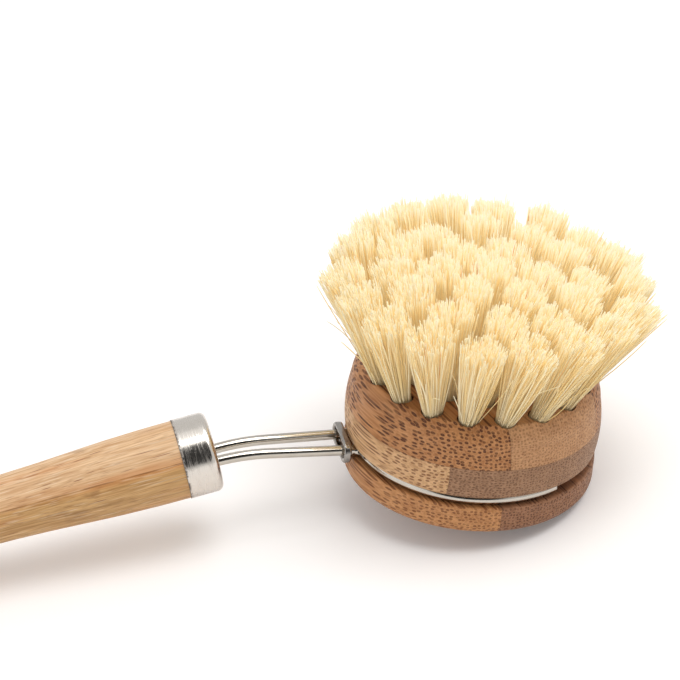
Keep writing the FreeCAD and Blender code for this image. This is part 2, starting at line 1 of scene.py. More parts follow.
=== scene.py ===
"""Looks of a dish brush: a bamboo head with fibre tufts, a wire bail, a ferrule and a turned handle."""

import json
import logging
import math
from dataclasses import dataclass
from enum import Enum
from typing import Iterable, Sequence

import bpy
import numpy as np
from mathutils import Matrix, Quaternion, Vector


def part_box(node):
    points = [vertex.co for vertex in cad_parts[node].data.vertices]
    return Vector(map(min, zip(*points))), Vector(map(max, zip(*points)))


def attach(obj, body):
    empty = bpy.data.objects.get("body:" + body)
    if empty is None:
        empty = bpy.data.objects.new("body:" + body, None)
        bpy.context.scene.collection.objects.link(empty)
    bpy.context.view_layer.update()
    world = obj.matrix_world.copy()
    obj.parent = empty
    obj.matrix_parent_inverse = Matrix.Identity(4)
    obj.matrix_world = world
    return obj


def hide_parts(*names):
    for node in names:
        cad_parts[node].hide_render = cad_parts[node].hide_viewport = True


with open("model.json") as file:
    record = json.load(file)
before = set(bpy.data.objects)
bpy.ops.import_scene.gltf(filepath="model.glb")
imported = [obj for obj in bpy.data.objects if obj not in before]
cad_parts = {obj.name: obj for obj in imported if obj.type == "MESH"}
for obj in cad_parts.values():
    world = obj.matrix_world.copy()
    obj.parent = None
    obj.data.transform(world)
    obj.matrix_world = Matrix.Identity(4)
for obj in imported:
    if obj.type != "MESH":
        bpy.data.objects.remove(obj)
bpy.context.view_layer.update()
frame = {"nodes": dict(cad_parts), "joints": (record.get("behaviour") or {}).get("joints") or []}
JOINTS = {joint["name"]: joint for joint in frame["joints"]}
MILLIMETRE = 0.001
log = logging.getLogger("dish_brush")

Colour = tuple[float, float, float, float]
StrandShape = tuple[np.ndarray, list[tuple[int, ...]]]
BLACK: Colour = (0.0, 0.0, 0.0, 1.0)
WHITE: Colour = (1.0, 1.0, 1.0, 1.0)


def srgb(red: int, green: int, blue: int) -> Colour:
    """Turns a colour of a screen, 0 to 255, into the linear colour that a shader takes.

    Args:
        red: Red of the screen colour.
        green: Green of the screen colour.
        blue: Blue of the screen colour.

    Returns:
        The linear colour with full alpha.
    """
    shares = [value / 255 for value in (red, green, blue)]
    linear = [s / 12.92 if s <= 0.04045 else ((s + 0.055) / 1.055) ** 2.4 for s in shares]
    return (*linear, 1.0)


@dataclass(frozen=True)
class OwnAxes:
    """A piece's own origin and axes in the row frame, which its grain or scratches follow."""

    origin: Vector
    turn: Matrix

    def mapping(self) -> dict[str, Sequence[float]]:
        """Leads from the row frame in metres to these axes in millimetres.

        Returns:
            The settings of a Mapping node.
        """
        inverse = self.turn.transposed()
        scale = 1 / MILLIMETRE
        return {
            "Location": inverse @ self.origin * -scale,
            "Rotation": inverse.to_euler("XYZ"),
            "Scale": (scale, scale, scale),
        }


class Term:
    """A shader socket that takes part in Python expressions."""

    def __init__(self, shader: "Shader", socket: bpy.types.NodeSocket) -> None:
        """Keeps the socket and the shader that it belongs to."""
        self.shader = shader
        self.socket = socket

    def output(self, key: int | str) -> "Term":
        """Gives another output of the same node."""
        return Term(self.shader, self.socket.node.outputs[key])

    def math(self, operation: str, first: "Term | float", second: "Term | float") -> "Term":
        """Adds a Math node.

        Args:
            operation: The node's operation.
            first: Its first value.
            second: Its second value.

        Returns:
            The node's result.
        """
        return self.shader.node("ShaderNodeMath", {"operation": operation}, {0: first, 1: second})

    def __add__(self, other: "Term | float") -> "Term":
        """Adds."""
        return self.math("ADD", self, other)

    def __radd__(self, other: float) -> "Term":
        """Adds to a number."""
        return self.math("ADD", other, self)

    def __sub__(self, other: "Term | float") -> "Term":
        """Subtracts."""
        return self.math("SUBTRACT", self, other)

    def __rsub__(self, other: float) -> "Term":
        """Subtracts from a number."""
        return self.math("SUBTRACT", other, self)

    def __mul__(self, other: "Term | float") -> "Term":
        """Multiplies."""
        return self.math("MULTIPLY", self, other)

    def __rmul__(self, other: float) -> "Term":
        """Multiplies a number."""
        return self.math("MULTIPLY", other, self)

    def __abs__(self) -> "Term":
        """Drops the sign."""
        return self.math("ABSOLUTE", self, 0.0)

    def at_least(self, other: "Term | float") -> "Term":
        """Gives the larger of two values."""
        return self.math("MAXIMUM", self, other)

    def at_most(self, other: "Term | float") -> "Term":
        """Gives the smaller of two values."""
        return self.math("MINIMUM", self, other)

    def rise(self, low: "Term | float", high: "Term | float") -> "Term":
        """Goes smoothly from 0 at one value to 1 at another.

        Args:
            low: The value at which the result leaves 0.
            high: The value at which it reaches 1.

        Returns:
            The share from 0 to 1.
        """
        settings = {"interpolation_type": "SMOOTHSTEP"}
        inputs = {"Value": self, "From Min": low, "From Max": high}
        return self.shader.node("ShaderNodeMapRange", settings, inputs)


class Shader:
    """The nodes of one material or of the world."""

    def __init__(self, owner: bpy.types.Material | bpy.types.World) -> None:
        """Starts with an empty node tree.

        Args:
            owner: The material or world that the nodes belong to.
        """
        owner.use_nodes = True
        self.owner = owner
        self.tree = owner.node_tree
        self.tree.nodes.clear()

    @classmethod
    def of_material(cls, name: str) -> "Shader":
        """Starts a new material."""
        return cls(bpy.data.materials.new(name))

    def node(
        self,
        kind: str,
        settings: dict[str, object] | None = None,
        inputs: dict[int | str, object] | None = None,
        output: int | str = 0,
    ) -> Term:
        """Adds a node.

        Args:
            kind: The node's type.
            settings: Its properties.
            inputs: The value or the linked term of each input, by name or number.
            output: The output that is wanted.

        Returns:
            That output.
        """
        made = self.tree.nodes.new(kind)
        for name, value in (settings or {}).items():
            setattr(made, name, value)
        for key, value in (inputs or {}).items():
            if isinstance(value, Term):
                self.tree.links.new(value.socket, made.inputs[key])
            else:
                made.inputs[key].default_value = value
        return Term(self, made.outputs[output] if made.outputs else None)

    def own_place(self, axes: OwnAxes) -> Term:
        """Gives the place on the piece along the piece's own axes, in millimetres."""
        place = self.node("ShaderNodeTexCoord", output="Object")
        return self.node("ShaderNodeMapping", None, {"Vector": place, **axes.mapping()})

    def stretched(self, place: Term, scales: Sequence[float]) -> Term:
        """Scales a place along each of its axes."""
        return self.node("ShaderNodeVectorMath", {"operation": "MULTIPLY"}, {0: place, 1: scales})

    def swayed(self, place: Term, scales: Sequence[float], reach: Sequence[float]) -> Term:
        """Moves a place about a little, so that lines along the grain aren't dead straight.

        Args:
            place: The place to move.
            scales: How fast the sway changes along each axis, per millimetre.
            reach: How far it goes along each axis, in millimetres.

        Returns:
            The moved place.
        """
        noise = self.noise(place, scales, detail=1.0).output(1)
        middle = (0.5, 0.5, 0.5)
        centred = self.node("ShaderNodeVectorMath", {"operation": "SUBTRACT"}, {0: noise, 1: middle})
        moves = {0: centred, 1: reach, 2: place}
        return self.node("ShaderNodeVectorMath", {"operation": "MULTIPLY_ADD"}, moves)

    def noise(self, place: Term, scales: Sequence[float], detail: float = 2.0) -> Term:
        """Gives noise whose grain is stretched along each axis by its own scale."""
        inputs = {"Vector": self.stretched(place, scales), "Scale": 1.0, "Detail": detail}
        return self.node("ShaderNodeTexNoise", None, inputs)

    def cells(
        self, place: Term, scales: Sequence[float], randomness: float = 1.0, flat: bool = False
    ) -> Term:
        """Gives the distance to the nearest of scattered points or lines, counted in spacings.

        Args:
            place: The place on the piece.
            scales: How many spacings there are to a millimetre along each axis.
            randomness: How far the scatter is from a regular grid.
            flat: Whether they are lines along Z instead of points.

        Returns:
            The distance.
        """
        inputs = {"Vector": self.stretched(place, scales), "Scale": 1.0, "Randomness": randomness}
        return self.node("ShaderNodeTexVoronoi", {"voronoi_dimensions": "2D" if flat else "3D"}, inputs)

    def mix(self, share: Term | float, first: Term | Colour, second: Term | Colour) -> Term:
        """Mixes two colours."""
        settings = {"data_type": "RGBA", "clamp_factor": True}
        return self.node("ShaderNodeMix", settings, {0: share, 6: first, 7: second}, output=2)

    def bump(self, height: Term, depth: float) -> Term:
        """Gives the normal of a surface that stands out by a share of a depth in millimetres."""
        inputs = {"Strength": 1.0, "Distance": depth * MILLIMETRE, "Height": height}
        return self.node("ShaderNodeBump", None, inputs)

    def surface(self, inputs: dict[int | str, object]) -> bpy.types.Material:
        """Ends the material in a Principled shader.

        Args:
            inputs: The value or term of each of its inputs.

        Returns:
            The finished material.
        """
        shaded = self.node("ShaderNodeBsdfPrincipled", None, inputs)
        self.node("ShaderNodeOutputMaterial", None, {"Surface": shaded})
        return self.owner


@dataclass(frozen=True)
class BambooFinish:
    """Sanded bamboo, whose vessels show as specks on the end grain and as streaks along it.

    Lengths in millimetres.
    """

    pale: Colour
    deep: Colour
    speck: Colour
    spacing: float = 0.85
    speck_radius: float = 0.36
    speck_strength: float = 0.85
    glue: Colour = srgb(92, 58, 34)
    glue_width: float = 0.1
    glue_strength: float = 0.35
    roughness: float = 0.46
    specular: float = 0.36
    hollow_depth: float = 0.06

    def material(self, name: str, axes: OwnAxes, strip: "Strip") -> bpy.types.Material:
        """Builds the material of one strip.

        Args:
            name: The material's name.
            axes: The head's axes, with Z along the grain and Y up through the plies.
            strip: The strip, whose edges show a thin glue line.

        Returns:
            The material.
        """
        shader = Shader.of_material(name)
        place = shader.own_place(axes)
        swayed = shader.swayed(place, (0.3, 0.3, 0.05), (0.7, 0.5, 0.0))
        per_cell = 1 / self.spacing
        vessels = shader.cells(swayed, (0.9 * per_cell, 1.1 * per_cell, 0.0), randomness=0.6, flat=True)
        patches = shader.noise(place, (0.2, 0.35, 0.06))
        broken = shader.noise(swayed, (1.3, 1.3, 0.12), detail=1.0)
        nearness = vessels + 0.14 * patches + 0.06 * broken - 0.1
        specks = 1 - nearness.rise(self.speck_radius * 0.5, self.speck_radius)
        hearts = 1 - vessels.rise(0.05, 0.16)
        strength = shader.noise(swayed, (0.8, 0.8, 0.1), detail=0.0).rise(0.25, 0.6) * 0.4 + 0.6

        shade = shader.noise(swayed, (0.5, 0.6, 0.06), detail=3.0)
        fine = shader.noise(swayed, (2.4, 2.4, 0.12), detail=3.0).rise(0.34, 0.66)
        wood = shader.mix(shade.rise(0.3, 0.7) * 0.45 + fine * 0.55, self.pale, self.deep)
        wood = shader.mix((1 - abs(vessels - 0.42).rise(0.04, 0.16)) * 0.3, wood, self.pale)
        wood = shader.mix((specks - hearts * 0.3) * strength * self.speck_strength, wood, self.speck)
        glue_line = 1 - strip.edge_distance(place).rise(self.glue_width * 0.3, self.glue_width)
        wood = shader.mix(glue_line * self.glue_strength, wood, self.glue)

        hollow = 1 - specks * 0.7 + fine * 0.4 - glue_line * 0.8
        return shader.surface({
            "Base Color": wood,
            "Roughness": fine * 0.16 + specks * 0.1 + (self.roughness - 0.08),
            "Specular IOR Level": self.specular,
            "Normal": shader.bump(hollow, self.hollow_depth),
        })


@dataclass(frozen=True)
class HandleWoodFinish:
    """Turned and oiled wood with fine pores along the handle and a glue line between its plies.

    Lengths in millimetres.
    """

    pale: Colour
    tan: Colour
    rust: Colour = srgb(206, 134, 78)
    pore: Colour = srgb(130, 64, 34)
    chalky: Colour = srgb(244, 222, 190)
    glue: Colour = srgb(122, 78, 40)
    glue_width: float = 0.22
    glue_strength: float = 0.6
    stain_reach: float = 1.3
    roughness: float = 0.44
    specular: float = 0.4
    pore_depth: float = 0.045

    def material(self, name: str, axes: OwnAxes) -> bpy.types.Material:
        """Builds the material of one ply.

        Args:
            name: The material's name.
            axes: The handle's axes, with Z along it and Y square to the glue line.

        Returns:
            The material.
        """
        shader = Shader.of_material(name)
        place = shader.own_place(axes)
        swayed = shader.swayed(place, (0.14, 0.14, 0.02), (1.4, 1.4, 0.0))
        bands = shader.noise(swayed, (0.9, 0.9, 0.008), detail=2.0)
        fibres = shader.noise(swayed, (3.0, 3.0, 0.09), detail=4.0).rise(0.34, 0.66)
        pores = 1 - shader.cells(swayed, (2.4, 2.4, 0.07)).rise(0.08, 0.22)
        fine_pores = 1 - shader.cells(swayed, (3.8, 3.8, 0.16)).rise(0.1, 0.26)
        clusters = shader.noise(swayed, (0.6, 0.6, 0.02), detail=1.0).rise(0.42, 0.62)
        glow = shader.noise(place, (0.35, 0.35, 0.03), detail=3.0)
        chalk = shader.noise(swayed, (3.0, 3.0, 0.12), detail=2.0).rise(0.55, 0.68)
        blots = shader.noise(place, (0.4, 0.4, 0.16), detail=4.0).rise(0.57, 0.72)

        wood = shader.mix(bands.rise(0.3, 0.7) * 0.4 + fibres * 0.6, self.pale, self.tan)
        wood = shader.mix(glow.rise(0.5, 0.75) * 0.4, wood, self.rust)
        wood = shader.mix(chalk * 0.4, wood, self.chalky)
        wood = shader.mix(fine_pores * 0.45, wood, self.pore)
        wood = shader.mix(pores * (clusters * 0.7 + 0.3), wood, self.pore)
        wood = shader.mix(blots * 0.35, wood, self.glue)

        across = abs(shader.node("ShaderNodeSeparateXYZ", None, {0: swayed}, output=1))
        ragged = shader.noise(place, (0.8, 0.0, 0.12), detail=4.0)
        near_glue = 1 - across.rise(0.0, self.stain_reach)
        glue_line = (1 - across.rise(self.glue_width * 0.3, self.glue_width)) * ragged.rise(0.38, 0.6)
        wood = shader.mix(near_glue * ragged * 0.5, wood, self.rust)
        wood = shader.mix(glue_line * self.glue_strength, wood, self.glue)

        height = 1 - pores * 0.6 - fine_pores * 0.25 - fibres * 0.25 - glue_line * 0.4
        return shader.surface({
            "Base Color": wood,
            "Roughness": fibres * 0.08 + pores * 0.15 + (self.roughness - 0.04),
            "Specular IOR Level": self.specular,
            "Normal": shader.bump(height, self.pore_depth),
        })


class Marks(Enum):
    """Where a steel piece carries marks of use."""

    NONE = "none"
    REAR_RIM = "rear rim"


@dataclass(frozen=True)
class SteelFinish:
    """Bright steel with fine lines round or along it, and on demand with grime up to a rim.

    Lengths in millimetres. The spans are counted inwards from the rim.
    """

    bright: Colour
    dull: Colour
    roughness: float
    line_scales: tuple[float, float, float]
    line_depth: float
    line_roughness: float = 0.08
    marks: Marks = Marks.NONE
    rim_place: float = 0.0
    grime_span: tuple[float, float] = (0.6, 0.15)
    edge_span: tuple[float, float] = (0.22, 0.06)
    grime: Colour = srgb(70, 52, 36)

    def material(self, name: str, axes: OwnAxes) -> bpy.types.Material:
        """Builds the material.

        Args:
            name: The material's name.
            axes: The axes that the fine lines follow.

        Returns:
            The material.
        """
        shader = Shader.of_material(name)
        place = shader.own_place(axes)
        lines = shader.noise(place, self.line_scales, detail=3.0)
        clouds = shader.noise(place, (0.5, 0.5, 0.5), detail=3.0)
        nicks = shader.noise(place, (2.2, 2.2, 2.2), detail=4.0).rise(0.6, 0.75)
        steel = shader.mix(clouds * 0.6 + lines * 0.4, self.bright, self.dull)
        roughness = lines.rise(0.45, 0.65) * self.line_roughness + nicks * 0.12 + self.roughness
        metal: Term | float = 1.0
        if self.marks is Marks.REAR_RIM:
            along = shader.node("ShaderNodeSeparateXYZ", None, {0: place}, output=2)
            spots = shader.noise(place, (1.1, 1.1, 0.8), detail=3.0).rise(0.36, 0.56)
            edge = along.rise(*(self.rim_place - inset for inset in self.edge_span))
            stained = along.rise(*(self.rim_place - inset for inset in self.grime_span))
            rim = (stained * spots).at_least(edge)
            steel = shader.mix(rim * 0.85, steel, self.grime)
            roughness = roughness + rim * 0.35
            metal = 1 - rim * 0.7
        return shader.surface({
            "Base Color": steel,
            "Metallic": metal,
            "Roughness": roughness,
            "Normal": shader.bump(lines + nicks * 0.3, self.line_depth),
        })


@dataclass(frozen=True)
class FibreFinish:
    """Bleached plant fibre: cream along it and pale at the cut tips, greyish where it leaves the block,
    which is painted shade of the packed roots, and with a painted glow, an emission that stands in for light
    scattered through the tufts.
    """

    # root is painted shade: a greyer colour for where the packed fibres shade each other near the block
    root: Colour = srgb(238, 222, 182)
    cream: Colour = srgb(255, 242, 206)
    straw: Colour = srgb(248, 219, 153)
    tip: Colour = srgb(255, 248, 222)
    rust: Colour = srgb(214, 150, 84)
    # glow is the colour of a painted glow, an emission that stands in for light scattered inside the tufts
    glow: Colour = srgb(255, 234, 185)
    painted_glow_strength: float = 0.155
    specular: float = 0.3

    def material(self, name: str) -> bpy.types.Material:
        """Builds the material, which reads each fibre's tint and the place along it from the mesh.

        Args:
            name: The material's name.

        Returns:
            The material.
        """
        shader = Shader.of_material(name)
        along = shader.node("ShaderNodeAttribute", {"attribute_name": "along"}, output="Fac")
        tint = shader.node("ShaderNodeAttribute", {"attribute_name": "tint"}, output="Fac")
        fibre = shader.mix(tint.rise(0.15, 0.95), self.cream, self.straw)
        fibre = shader.mix(tint.rise(0.985, 0.995), fibre, self.rust)
        # Painted shade: greyer towards the roots, where the packed fibres shade each other
        fibre = shader.mix((1 - along.rise(0.05, 0.4)) * 0.85, fibre, self.root)
        fibre = shader.mix(along.rise(0.93, 1.0) * 0.6, fibre, self.tip)
        # Painted glow: an emission that stands in for light passed through many fibres, strongest near the
        # tips
        depth = along.rise(0.1, 1.0) * 0.75 + 0.25
        return shader.surface({
            "Base Color": fibre,
            "Roughness": tint * 0.15 + 0.45,
            "Specular IOR Level": self.specular,
            "Emission Color": shader.mix(depth, BLACK, self.glow),
            "Emission Strength": self.painted_glow_strength,
        })


@dataclass(frozen=True)
class FloorFinish:
    """A plain near-white table, which takes the brush's shadow."""

    colour: Colour = srgb(251, 249, 248)
    lift: float = 0.1
    roughness: float = 0.8
    specular: float = 0.1

    def material(self, name: str) -> bpy.types.Material:
        """Builds the material, a little lifted towards white where the camera sees it.

        Args:
            name: The material's name.

        Returns:
            The material.
        """
        shader = Shader.of_material(name)
        seen = shader.node("ShaderNodeLightPath", output="Is Camera Ray")
        glow = shader.mix(seen, BLACK, WHITE)
        return shader.surface({
            "Base Color": self.colour,
            "Roughness": self.roughness,
            "Specular IOR Level": self.specular,
            "Emission Color": glow,
            "Emission Strength": self.lift,
        })


TUFTS_PER_STEP = 6


class Ring(Enum):
    """The rings of tufts, from the middle of the head outwards."""

    CENTRE = 0
    INNER = 1
    MIDDLE = 2
    OUTER = 3

    @property
    def count(self) -> int:
        """The number of tufts in the ring."""
        return TUFTS_PER_STEP * self.value or 1

    def node(self, number: int) -> str:
        """The CAD node of a tuft of this ring."""
        name = f"{self.name.lower()}_tuft"
        return f"{name}_{number + 1:02d}" if self.value else name


class Lane(Enum):
    """The strips of a ply, counted across the grain."""

    NEAR = 0
    MIDDLE = 1
    FAR = 2


@dataclass(frozen=True)
class Ply:
    """One layer of the head block, glued up from strips. Lengths in millimetres."""

    name: str
    bottom: float
    top: float
    seam: float
    strip_width: float = 22.0
    reach: float = 40.0

    def edges(self, lane: Lane) -> tuple[float, float]:
        """Gives the two edges of a strip across the grain."""
        places = (-self.reach, -self.seam, self.strip_width - self.seam, self.reach)
        return places[lane.value], places[lane.value + 1]


@dataclass(frozen=True)
class Strip:
    """One strip of bamboo in a ply."""

    ply: Ply
    lane: Lane
    finish: BambooFinish

    @property
    def node(self) -> str:
        """The strip's CAD node."""
        return f"{self.ply.name}_ply_{self.lane.name.lower()}_strip"

    def edge_distance(self, place: Term) -> Term:
        """Measures how far a place is from the nearest glued face of the strip.

        Args:
            place: The place along the grain's axes.

        Returns:
            The distance in millimetres.
        """
        across = place.shader.node("ShaderNodeSeparateXYZ", None, {0: place}, output=0)
        up = across.output(1)
        start, end = self.ply.edges(self.lane)
        nearest = abs(across - start).at_most(abs(across - end))
        for height in (self.ply.bottom, self.ply.top):
            nearest = nearest.at_most(abs(up - height))
        return nearest


@dataclass
class Strand:
    """One fibre of unit length and radius, modelled once and laid along the path of every fibre."""

    sides: int = 3
    cuts: int = 5
    tip_share: float = 0.72
    tip_from_share: float = 0.99

    def model(self) -> StrandShape:
        """Models the strand as a thin prism, cut across its length and drawn in at its tip.

        Returns:
            The strand's points, with Z from 0 at the root to 1 at the tip, and its faces.
        """
        bpy.ops.object.select_all(action="DESELECT")
        middle = (0.0, 0.0, 0.5)
        bpy.ops.mesh.primitive_cylinder_add(vertices=self.sides, radius=1.0, depth=1.0, location=middle)
        strand = bpy.context.object
        bpy.ops.object.transform_apply(location=True, rotation=True, scale=True)
        self._select_edges(strand)
        bpy.ops.object.mode_set(mode="EDIT")
        bpy.ops.mesh.subdivide(number_cuts=self.cuts)
        bpy.ops.mesh.select_all(action="DESELECT")
        bpy.ops.object.mode_set(mode="OBJECT")
        for vertex in strand.data.vertices:
            vertex.select = vertex.co.z > self.tip_from_share
        bpy.ops.object.mode_set(mode="EDIT")
        drawn_in = (self.tip_share, self.tip_share, 1.0)
        bpy.ops.transform.resize(value=drawn_in, center_override=(0.0, 0.0, 1.0))
        bpy.ops.object.mode_set(mode="OBJECT")
        points = np.array([vertex.co for vertex in strand.data.vertices])
        faces = [tuple(face.vertices) for face in strand.data.polygons]
        mesh = strand.data
        bpy.data.objects.remove(strand)
        bpy.data.meshes.remove(mesh)
        return points, faces

    @staticmethod
    def _select_edges(strand: bpy.types.Object) -> None:
        """Selects the edges that run along the strand.

        Args:
            strand: The strand, not yet cut across.
        """
        bpy.ops.object.mode_set(mode="EDIT")
        bpy.ops.mesh.select_mode(type="EDGE")
        bpy.ops.mesh.select_all(action="DESELECT")
        bpy.ops.object.mode_set(mode="OBJECT")
        heights = [round(vertex.co.z) for vertex in strand.data.vertices]
        for edge in strand.data.edges:
            first, second = edge.vertices
            edge.select = heights[first] != heights[second]


@dataclass
class Tufts:
    """The bundles of fibre in the head block. Lengths in metres, angles in degrees."""

    pitch: float = 0.0067
    fan_depth: float = 0.048
    block_height: float = 0.0228
    head_turn: float = -10.5
    hole_radius: float = 0.0016
    tip_radius: float = 0.0045
    bristle_length: float = 0.0216
    lean_over: float = 3.0
    lean_side: float = 3.0
    swirl: float = 3.0
    sunk: float = 0.0015
    crown: float = 0.0008
    flare_power: float = 1.3
    fibre_radius: float = 0.00013
    radius_shares: tuple[float, float] = (0.6, 1.4)
    fibre_count: int = 380
    bow: float = 0.00032
    short_share: float = 0.1
    short_length_shares: tuple[float, float] = (0.72, 0.97)
    clump_count: int = 14
    clump_reach_share: float = 0.95
    clump_pull_share: float = 0.18
    spread_share: float = 0.06
    tuft_sway: float = 0.0005
    tip_scatter: float = 0.00028
    tuft_unevenness: float = 0.0004
    fibre_unevenness: float = 0.0006
    clump_unevenness: float = 0.0004
    outer_strays: int = 5
    inner_strays: int = 2
    stray_bow: float = 0.0013
    stray_reach_shares: tuple[float, float] = (1.0, 1.55)
    stray_length_shares: tuple[float, float] = (0.45, 0.97)
    stray_radius_share: float = 0.75
    least_reach_share: float = 0.05
    seed: int = 41

    def build(self, head: Matrix, finish: bpy.types.Material) -> list[bpy.types.Object]:
        """Builds every tuft.

        Args:
            head: The head's place in the row frame.
            finish: The fibres' material.

        Returns:
            The tufts.
        """
        strand = Strand().model()
        made = []
        for ring in Ring:
            for number in range(ring.count):
                tuft = self._tuft(ring, number, head, strand)
                tuft.data.materials.append(finish)
                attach(tuft, "head")
                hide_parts(ring.node(number))
                made.append(tuft)
        return made

    def mouth(self, ring: Ring, number: int) -> tuple[Matrix, Vector]:
        """Places a tuft in the head's frame.

        Use has pushed all the tufts over a little, away from the handle, to one side and round the head.

        Args:
            ring: The ring that the tuft is in.
            number: Its number in the ring.

        Returns:
            The tuft's axes, with Z along it, and the middle of its hole's mouth.
        """
        radius = self.pitch * ring.value
        turn = math.radians(self.head_turn + 360 * number / ring.count)
        spin = Matrix.Rotation(turn, 3, "Z")
        lean = Matrix.Rotation(math.atan2(radius, self.fan_depth), 3, "Y")
        pushed = Matrix.Rotation(math.radians(self.lean_over), 3, "Y")
        pushed = pushed @ Matrix.Rotation(math.radians(-self.lean_side), 3, "X")
        swirl = math.radians(-self.swirl * ring.value / Ring.OUTER.value)
        axes = pushed @ spin @ lean @ Matrix.Rotation(swirl, 3, "X")
        return axes, spin @ Vector((radius, 0.0, self.block_height))

    def _paths(self, ring: Ring, rng: np.random.Generator) -> dict[str, np.ndarray]:
        """Chooses where each fibre of a tuft starts and ends, how it bows and how thick and dark it is.

        Args:
            ring: The ring that the tuft is in.
            rng: The tuft's own random numbers.

        Returns:
            The fibres' roots, tips, bows, radii and tints, in the tuft's own axes.
        """
        strays = self.outer_strays if ring is Ring.OUTER else self.inner_strays
        count = self.fibre_count + strays
        reach = np.sqrt(rng.random(count))
        turn = rng.random(count) * 2 * math.pi
        disc = np.stack([reach * np.cos(turn), reach * np.sin(turn)], 1)

        # Fibres stick together in clumps, which part towards the tips
        clump_turn = rng.random(self.clump_count) * 2 * math.pi
        clump_reach = np.sqrt(rng.random(self.clump_count)) * self.clump_reach_share
        clumps = np.stack([clump_reach * np.cos(clump_turn), clump_reach * np.sin(clump_turn)], 1)
        nearest = np.argmin(((disc[:, None] - clumps[None]) ** 2).sum(2), 1)
        drawn = disc + (clumps[nearest] - disc) * self.clump_pull_share
        spread = self.tip_radius * (1 + self.spread_share * rng.standard_normal())
        tips = drawn * spread + rng.standard_normal((count, 2)) * self.tip_scatter
        tips += rng.standard_normal(2) * self.tuft_sway

        # The cut is uneven from tuft to tuft, from fibre to fibre and from clump to clump
        heights = self.bristle_length + self.tuft_unevenness * rng.standard_normal()
        heights = heights + self.fibre_unevenness * rng.standard_normal(count)
        heights += (self.clump_unevenness * rng.standard_normal(self.clump_count))[nearest]
        heights -= self.crown * reach**2
        short = rng.random(count) < self.short_share
        heights[short] *= rng.uniform(*self.short_length_shares, short.sum())
        bows = rng.standard_normal((count, 2)) * self.bow

        # A few strays stand away from the tuft
        outwards = disc[-strays:] / np.maximum(reach[-strays:, None], self.least_reach_share)
        tips[-strays:] = outwards * self.tip_radius * rng.uniform(*self.stray_reach_shares, (strays, 1))
        heights[-strays:] *= rng.uniform(*self.stray_length_shares, strays)
        bows[-strays:] = rng.standard_normal((strays, 2)) * self.stray_bow
        radii = self.fibre_radius * rng.uniform(*self.radius_shares, count)
        radii[-strays:] *= self.stray_radius_share

        roots = np.column_stack([disc * self.hole_radius, np.full(count, -self.sunk)])
        return {
            "roots": roots,
            "tips": np.column_stack([tips, heights]),
            "bows": np.column_stack([bows, np.zeros(count)]),
            "radii": radii,
            "tints": rng.random(count),
        }

    def _tuft(self, ring: Ring, number: int, head: Matrix, strand: StrandShape) -> bpy.types.Object:
        """Lays a copy of the strand along every fibre of a tuft.

        Args:
            ring: The ring that the tuft is in.
            number: Its number in the ring.
            head: The head's place in the row frame.
            strand: The strand's points and faces.

        Returns:
            The tuft, in the row frame.
        """
        rng = np.random.default_rng([self.seed, ring.value, number])
        paths = self._paths(ring, rng)
        count = len(paths["radii"])
        strand_points, strand_faces = strand
        along = strand_points[:, 2]
        section = strand_points[:, :2]
        runs = paths["tips"] - paths["roots"]
        ways = runs / np.linalg.norm(runs, axis=1, keepdims=True)
        first = np.cross(ways, np.array([0.0, 1.0, 0.0]))
        first /= np.linalg.norm(first, axis=1, keepdims=True)
        second = np.cross(ways, first)
        twist = rng.random(count) * 2 * math.pi
        cos, sin = np.cos(twist)[:, None], np.sin(twist)[:, None]
        first, second = first * cos + second * sin, second * cos - first * sin

        # Fibres leave the hole upright and flare out above it
        flare = along**self.flare_power
        points = paths["roots"][:, None] + runs[:, None] * np.stack([flare, flare, along], 1)[None]
        points += paths["bows"][:, None] * (4 * along * (1 - along))[None, :, None]
        rings = section[None] * paths["radii"][:, None, None]
        points += first[:, None] * rings[..., :1] + second[:, None] * rings[..., 1:]

        axes, mouth = self.mouth(ring, number)
        place = head @ (Matrix.Translation(mouth) @ axes.to_4x4())
        flat = points.reshape(-1, 3) @ np.array(place.to_3x3()).T + np.array(place.translation)
        size = len(along)
        faces = [tuple(i + size * n for i in face) for n in range(count) for face in strand_faces]
        mesh = bpy.data.meshes.new(f"{ring.node(number)}_fibres")
        mesh.from_pydata(flat.tolist(), [], faces)
        self._store(mesh, "along", np.tile(along, count))
        self._store(mesh, "tint", np.repeat(paths["tints"], size))
        tuft = bpy.data.objects.new(mesh.name, mesh)
        bpy.context.scene.collection.objects.link(tuft)
        bpy.ops.object.select_all(action="DESELECT")
        tuft.select_set(True)
        bpy.context.view_layer.objects.active = tuft
        bpy.ops.object.shade_smooth()
        return tuft

    @staticmethod
    def _store(mesh: bpy.types.Mesh, name: str, values: np.ndarray) -> None:
        """Keeps a value for every point of a mesh."""
        layer = mesh.attributes.new(name, "FLOAT", "POINT")
        layer.data.foreach_set("value", values.astype(np.float32))


def dress(node: str, material: bpy.types.Material) -> None:
    """Gives a CAD node its material.

    Args:
        node: The node's name.
        material: Its material.
    """
    slots = frame["nodes"][node].data.materials
    slots.clear()
    slots.append(material)
    log.info("%s: %s", node, material.name)


